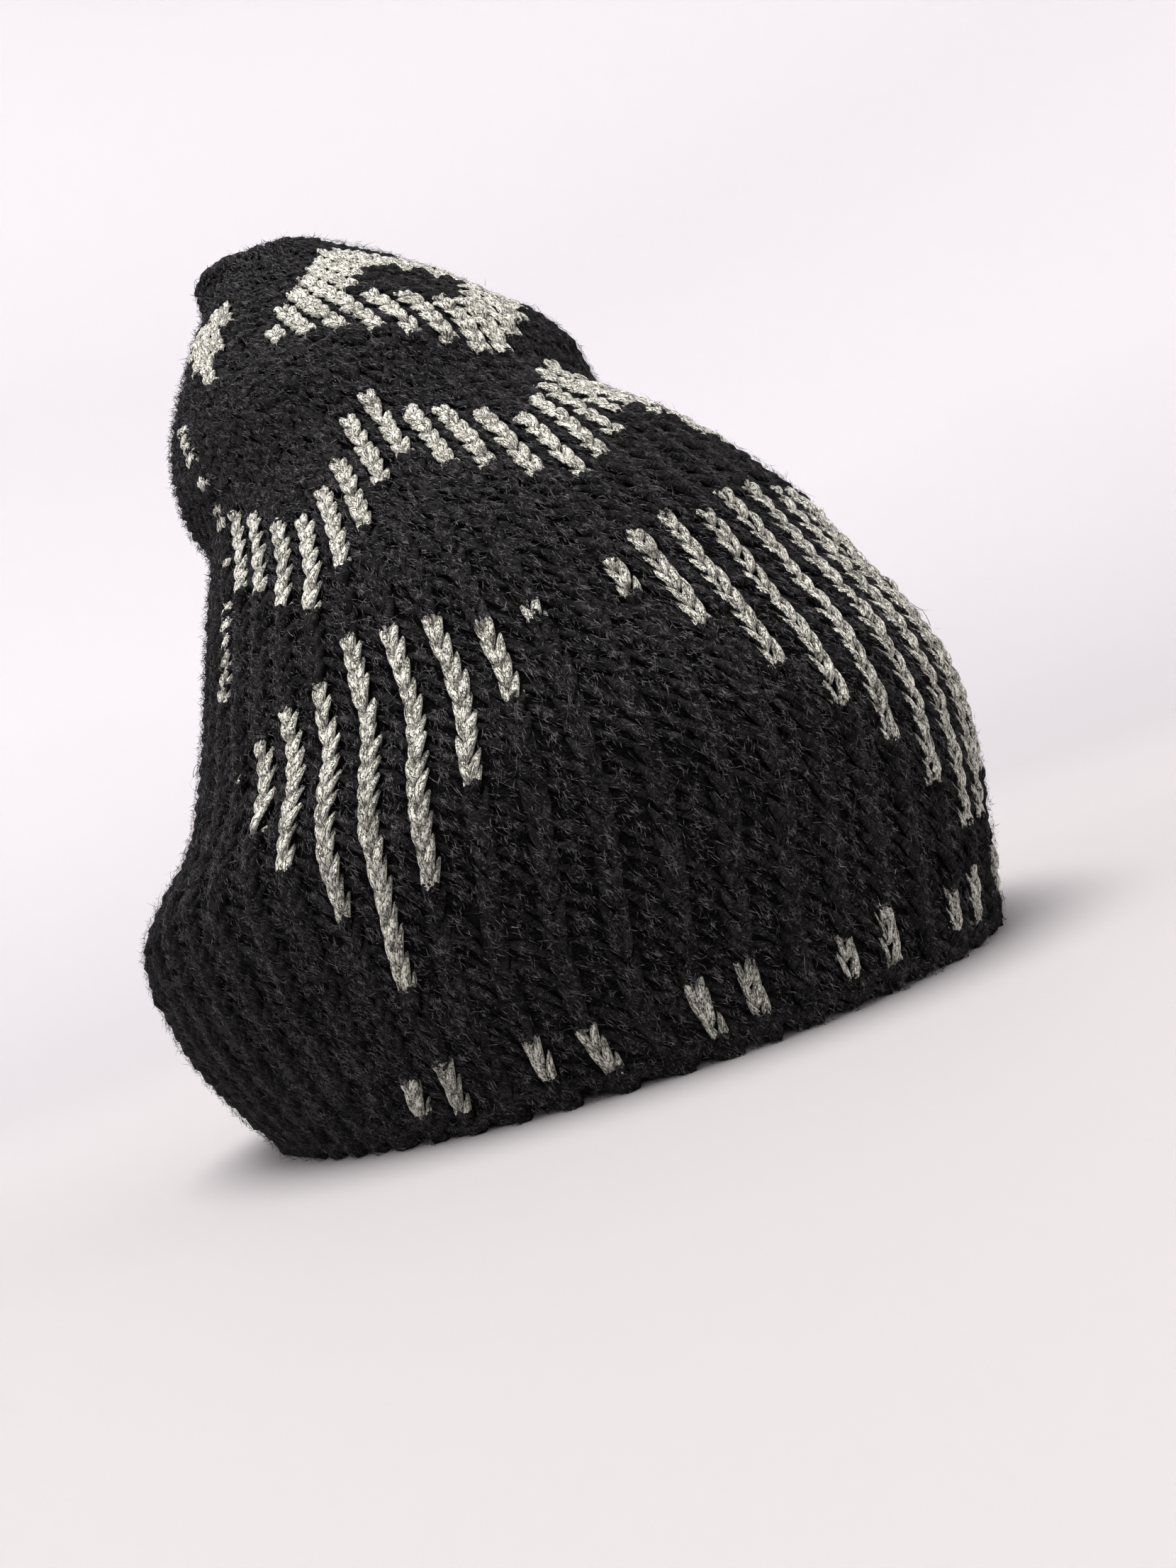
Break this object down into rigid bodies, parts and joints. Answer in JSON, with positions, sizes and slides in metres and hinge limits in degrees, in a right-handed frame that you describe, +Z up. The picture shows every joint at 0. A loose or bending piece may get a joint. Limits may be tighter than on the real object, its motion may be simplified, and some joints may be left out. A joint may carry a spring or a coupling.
{
  "type": "beanie",
  "caption": "Slouchy rib-knit beanie, an open hollow dome with a soft leaning top lobe and a gathered crown.",
  "frame": {"origin": "on the floor under the middle of the hat's outer box, in the plane of the brim's edge", "axes": "+Z up from the brim to the crown, the front of the hat faces -Y, the wearer's right faces -X"},
  "size_m": [0.1996, 0.2332, 0.2426],
  "materials": {
    "black_knit": "fuzzy chunky rib knit",
    "silver_foil": "crinkled foil print on the raised stitches"
  },
  "bodies": {
    "root": {"knit_crown": "black_knit"}
  },
  "joints": []
}
